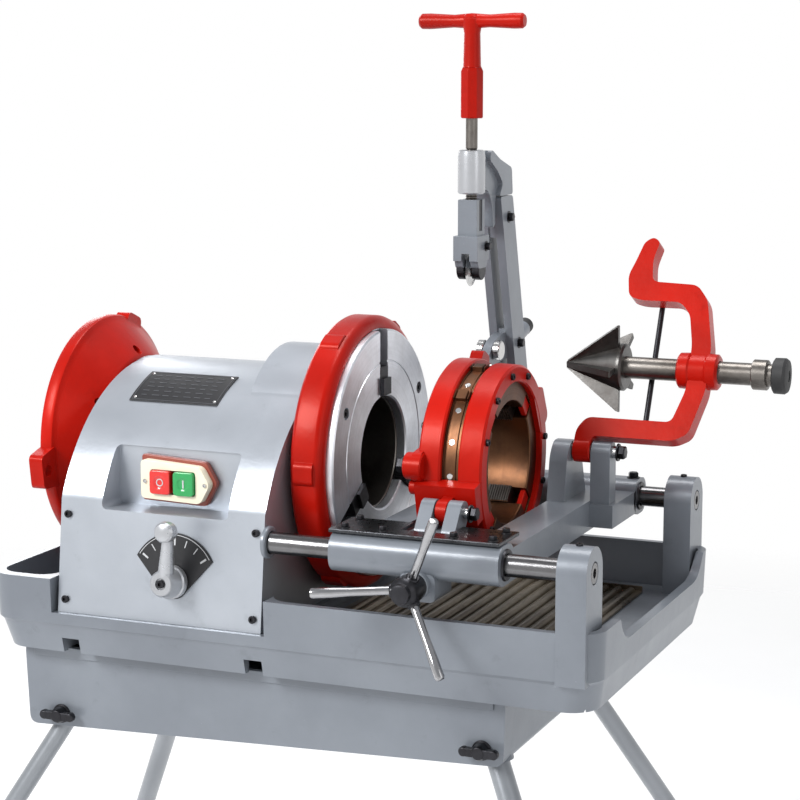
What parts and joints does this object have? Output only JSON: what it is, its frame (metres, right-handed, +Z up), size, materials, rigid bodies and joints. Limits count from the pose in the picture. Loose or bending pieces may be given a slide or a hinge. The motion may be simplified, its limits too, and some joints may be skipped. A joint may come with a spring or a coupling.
{
  "type": "pipe threading machine on a folding-leg stand",
  "caption": "Motor-driven pipe threading machine with hollow spindle chuck, swing-up die head, cutter and reamer on a sliding carriage over a chip tray, on splayed tube legs.",
  "frame": {"origin": "centre of the bounding box on the floor", "axes": "+X along the spindle from the headstock to the reamer, +Y to the back of the machine, +Z up"},
  "size_m": [1.0326, 0.7242, 1.2255],
  "materials": {
    "grey_paint": "satin light blue-grey enamel over castings",
    "red_paint": "gloss signal-red enamel",
    "bright_steel": "machined bright steel",
    "oily_steel": "dark oily steel",
    "bronze": "dull oily bronze-brown steel",
    "black_steel": "blackened steel",
    "black_plate": "black printed plate",
    "cream_plastic": "cream plastic",
    "red_plastic": "red plastic button",
    "green_plastic": "green plastic button",
    "tray_steel": "brown oily sheet steel",
    "leg_paint": "grey-green painted tube"
  },
  "bodies": {
    "machine_frame": {"bed_casting": "grey_paint", "oil_tank": "grey_paint", "headstock_cover": "grey_paint", "headstock_frame": "grey_paint", "nameplate": "black_plate", "switch_housing": "cream_plastic", "speed_dial_plate": "black_plate", "front_rail": "bright_steel", "rear_rail": "bright_steel", "chip_tray": "tray_steel", "gear_motor": "black_steel", "oil_pump": "black_steel", "cable_gland": "black_plate", "front_spindle_bearing": "bright_steel", "rear_spindle_bearing": "bright_steel", "leg_front_left": "leg_paint", "leg_front_right": "leg_paint", "leg_rear_left": "leg_paint", "leg_rear_right": "leg_paint"},
    "spindle_body": {"spindle": "oily_steel", "spindle_gear": "bright_steel", "chuck_body": "bright_steel", "rear_chuck_body": "bright_steel"},
    "chuck_wheel": {"chuck_handwheel": "red_paint"},
    "rear_wheel": {"rear_chuck_wheel": "red_paint"},
    "gear_cluster": {"gear_shaft": "bright_steel"},
    "motor_shaft": {"motor_pinion": "bright_steel"},
    "carriage_body": {"carriage": "grey_paint", "carriage_plate": "oily_steel"},
    "feed_wheel": {"feed_handle": "bright_steel"},
    "die_head": {"die_head_body": "red_paint"},
    "cam_ring": {"die_cam_ring": "bronze"},
    "cutter_frame": {"cutter_arm": "grey_paint", "cutter_head": "grey_paint"},
    "cutter_slide": {"cutter_wheel_holder": "grey_paint"},
    "cutter_handle": {"cutter_screw": "red_paint"},
    "cutter_disc": {"cutter_wheel": "bright_steel"},
    "roller_1": {"cutter_roller_1": "bright_steel"},
    "roller_2": {"cutter_roller_2": "bright_steel"},
    "reamer_frame": {"reamer_arm": "red_paint", "reamer_stay_rod": "black_steel"},
    "reamer": {"reamer_shaft": "bright_steel", "reamer_cone": "black_steel"},
    "speed_selector": {"speed_lever": "bright_steel"},
    "start": {"start_button": "green_plastic"},
    "stop": {"stop_button": "red_plastic"},
    "jaw_1": {"chuck_jaw_1": "black_steel"},
    "rear_jaw_1_body": {"rear_jaw_1": "black_steel"},
    "jaw_2": {"chuck_jaw_2": "black_steel"},
    "rear_jaw_2_body": {"rear_jaw_2": "black_steel"},
    "jaw_3": {"chuck_jaw_3": "black_steel"},
    "rear_jaw_3_body": {"rear_jaw_3": "black_steel"},
    "die_1_body": {"die_1": "oily_steel"},
    "die_2_body": {"die_2": "oily_steel"},
    "die_3_body": {"die_3": "oily_steel"},
    "die_4_body": {"die_4": "oily_steel"},
    "clamp_front_left": {"leg_clamp_front_left": "black_steel"},
    "clamp_front_right": {"leg_clamp_front_right": "black_steel"},
    "clamp_rear_left": {"leg_clamp_rear_left": "black_steel"},
    "clamp_rear_right": {"leg_clamp_rear_right": "black_steel"}
  },
  "joints": [
    {"name": "spindle_spin", "type": "hinge", "parent": "machine_frame", "child": "spindle_body", "pos_m": [0.046, 0.0125, 0.765], "axis": [1, 0, 0], "continuous": true},
    {"name": "gear_cluster_spin", "type": "hinge", "parent": "machine_frame", "child": "gear_cluster", "pos_m": [-0.054, 0.09445, 0.68305], "axis": [1, 0, 0], "continuous": true},
    {"name": "motor_spin", "type": "hinge", "parent": "machine_frame", "child": "motor_shaft", "pos_m": [-0.056, 0.14999, 0.665], "axis": [1, 0, 0], "continuous": true},
    {"name": "chuck_wheel_turn", "type": "hinge", "parent": "spindle_body", "child": "chuck_wheel", "pos_m": [0.046, 0.0125, 0.765], "axis": [1, 0, 0], "range_deg": [0, 360]},
    {"name": "rear_wheel_turn", "type": "hinge", "parent": "spindle_body", "child": "rear_wheel", "pos_m": [-0.264, 0.0125, 0.765], "axis": [1, 0, 0], "range_deg": [0, 360]},
    {"name": "jaw_1_slide", "type": "slide", "parent": "spindle_body", "child": "jaw_1", "axis": [0, 0, -1], "range_m": [0, 0.04]},
    {"name": "rear_jaw_1_slide", "type": "slide", "parent": "spindle_body", "child": "rear_jaw_1_body", "axis": [0, 0, -1], "range_m": [0, 0.04]},
    {"name": "jaw_2_slide", "type": "slide", "parent": "spindle_body", "child": "jaw_2", "axis": [0, 0.866, 0.5], "range_m": [0, 0.04]},
    {"name": "rear_jaw_2_slide", "type": "slide", "parent": "spindle_body", "child": "rear_jaw_2_body", "axis": [0, 0.866, 0.5], "range_m": [0, 0.04]},
    {"name": "jaw_3_slide", "type": "slide", "parent": "spindle_body", "child": "jaw_3", "axis": [0, -0.866, 0.5], "range_m": [0, 0.04]},
    {"name": "rear_jaw_3_slide", "type": "slide", "parent": "spindle_body", "child": "rear_jaw_3_body", "axis": [0, -0.866, 0.5], "range_m": [0, 0.04]},
    {"name": "carriage_slide", "type": "slide", "parent": "machine_frame", "child": "carriage_body", "axis": [1, 0, 0], "range_m": [-0.03, 0.03]},
    {"name": "feed_turn", "type": "hinge", "parent": "carriage_body", "child": "feed_wheel", "pos_m": [0.176, -0.202, 0.6798], "axis": [0, 1, 0], "range_deg": [-170, 170]},
    {"name": "die_head_swing", "type": "hinge", "parent": "carriage_body", "child": "die_head", "pos_m": [0.171, -0.1125, 0.735], "axis": [1, 0, 0], "range_deg": [0, 90]},
    {"name": "cam_ring_turn", "type": "hinge", "parent": "die_head", "child": "cam_ring", "pos_m": [0.166, 0.0125, 0.765], "axis": [1, 0, 0], "range_deg": [0, 40]},
    {"name": "die_1_slide", "type": "slide", "parent": "die_head", "child": "die_1_body", "axis": [0, -0.7071, -0.7071], "range_m": [0, 0.008]},
    {"name": "die_2_slide", "type": "slide", "parent": "die_head", "child": "die_2_body", "axis": [0, 0.7071, -0.7071], "range_m": [0, 0.008]},
    {"name": "die_3_slide", "type": "slide", "parent": "die_head", "child": "die_3_body", "axis": [0, 0.7071, 0.7071], "range_m": [0, 0.008]},
    {"name": "die_4_slide", "type": "slide", "parent": "die_head", "child": "die_4_body", "axis": [0, -0.7071, 0.7071], "range_m": [0, 0.008]},
    {"name": "cutter_swing", "type": "hinge", "parent": "carriage_body", "child": "cutter_frame", "pos_m": [0.106, 0.1575, 0.735], "axis": [1, 0, 0], "range_deg": [0, 68]},
    {"name": "cutter_feed", "type": "slide", "parent": "cutter_frame", "child": "cutter_slide", "axis": [0, 0, -1], "range_m": [0, 0.03]},
    {"name": "cutter_handle_turn", "type": "hinge", "parent": "cutter_slide", "child": "cutter_handle", "pos_m": [0.106, 0.1305, 1.115], "axis": [0, 0, -1], "range_deg": [0, 1800]},
    {"name": "cutter_disc_spin", "type": "hinge", "parent": "cutter_slide", "child": "cutter_disc", "pos_m": [0.106, 0.1305, 0.95], "axis": [1, 0, 0], "continuous": true},
    {"name": "roller_1_spin", "type": "hinge", "parent": "cutter_frame", "child": "roller_1", "pos_m": [0.106, 0.1925, 0.855], "axis": [1, 0, 0], "continuous": true},
    {"name": "roller_2_spin", "type": "hinge", "parent": "cutter_frame", "child": "roller_2", "pos_m": [0.106, 0.1245, 0.806], "axis": [1, 0, 0], "continuous": true},
    {"name": "reamer_swing", "type": "hinge", "parent": "carriage_body", "child": "reamer_frame", "pos_m": [0.246, 0.1075, 0.765], "axis": [1, 0, 0], "range_deg": [0, 116]},
    {"name": "reamer_slide", "type": "slide", "parent": "reamer_frame", "child": "reamer", "axis": [1, 0, 0], "range_m": [-0.035, 0]},
    {"name": "speed_select", "type": "hinge", "parent": "machine_frame", "child": "speed_selector", "pos_m": [-0.094, -0.18464, 0.65522], "axis": [0, -0.994, 0.1095], "range_deg": [-40, 40]},
    {"name": "start_press", "type": "slide", "parent": "machine_frame", "child": "start", "axis": [0, 1, 0], "range_m": [0, 0.003], "stiffness_N_per_m": 300},
    {"name": "stop_press", "type": "slide", "parent": "machine_frame", "child": "stop", "axis": [0, 1, 0], "range_m": [0, 0.003], "stiffness_N_per_m": 300},
    {"name": "clamp_turn_front_left", "type": "hinge", "parent": "machine_frame", "child": "clamp_front_left", "pos_m": [-0.2425, -0.1625, 0.493], "axis": [0, 1, 0], "continuous": true},
    {"name": "clamp_turn_front_right", "type": "hinge", "parent": "machine_frame", "child": "clamp_front_right", "pos_m": [0.2319, -0.1625, 0.513], "axis": [0, 1, 0], "continuous": true},
    {"name": "clamp_turn_rear_left", "type": "hinge", "parent": "machine_frame", "child": "clamp_rear_left", "pos_m": [-0.2425, 0.1625, 0.493], "axis": [0, 1, 0], "continuous": true},
    {"name": "clamp_turn_rear_right", "type": "hinge", "parent": "machine_frame", "child": "clamp_rear_right", "pos_m": [0.2319, 0.1625, 0.513], "axis": [0, 1, 0], "continuous": true}
  ],
  "couplings": [
    {"joint": "gear_cluster_spin", "follows": "spindle_spin", "ratio": -4.1333},
    {"joint": "motor_spin", "follows": "spindle_spin", "ratio": 12.99},
    {"joint": "jaw_1_slide", "follows": "chuck_wheel_turn", "m_per_rad": 0.0063662},
    {"joint": "rear_jaw_1_slide", "follows": "rear_wheel_turn", "m_per_rad": 0.0063662},
    {"joint": "jaw_2_slide", "follows": "chuck_wheel_turn", "m_per_rad": 0.0063662},
    {"joint": "rear_jaw_2_slide", "follows": "rear_wheel_turn", "m_per_rad": 0.0063662},
    {"joint": "jaw_3_slide", "follows": "chuck_wheel_turn", "m_per_rad": 0.0063662},
    {"joint": "rear_jaw_3_slide", "follows": "rear_wheel_turn", "m_per_rad": 0.0063662},
    {"joint": "feed_turn", "follows": "carriage_slide", "rad_per_m": -95.238},
    {"joint": "die_1_slide", "follows": "cam_ring_turn", "m_per_rad": 0.011459},
    {"joint": "die_2_slide", "follows": "cam_ring_turn", "m_per_rad": 0.011459},
    {"joint": "die_3_slide", "follows": "cam_ring_turn", "m_per_rad": 0.011459},
    {"joint": "die_4_slide", "follows": "cam_ring_turn", "m_per_rad": 0.011459},
    {"joint": "cutter_feed", "follows": "cutter_handle_turn", "m_per_rad": 0.00095493}
  ]
}
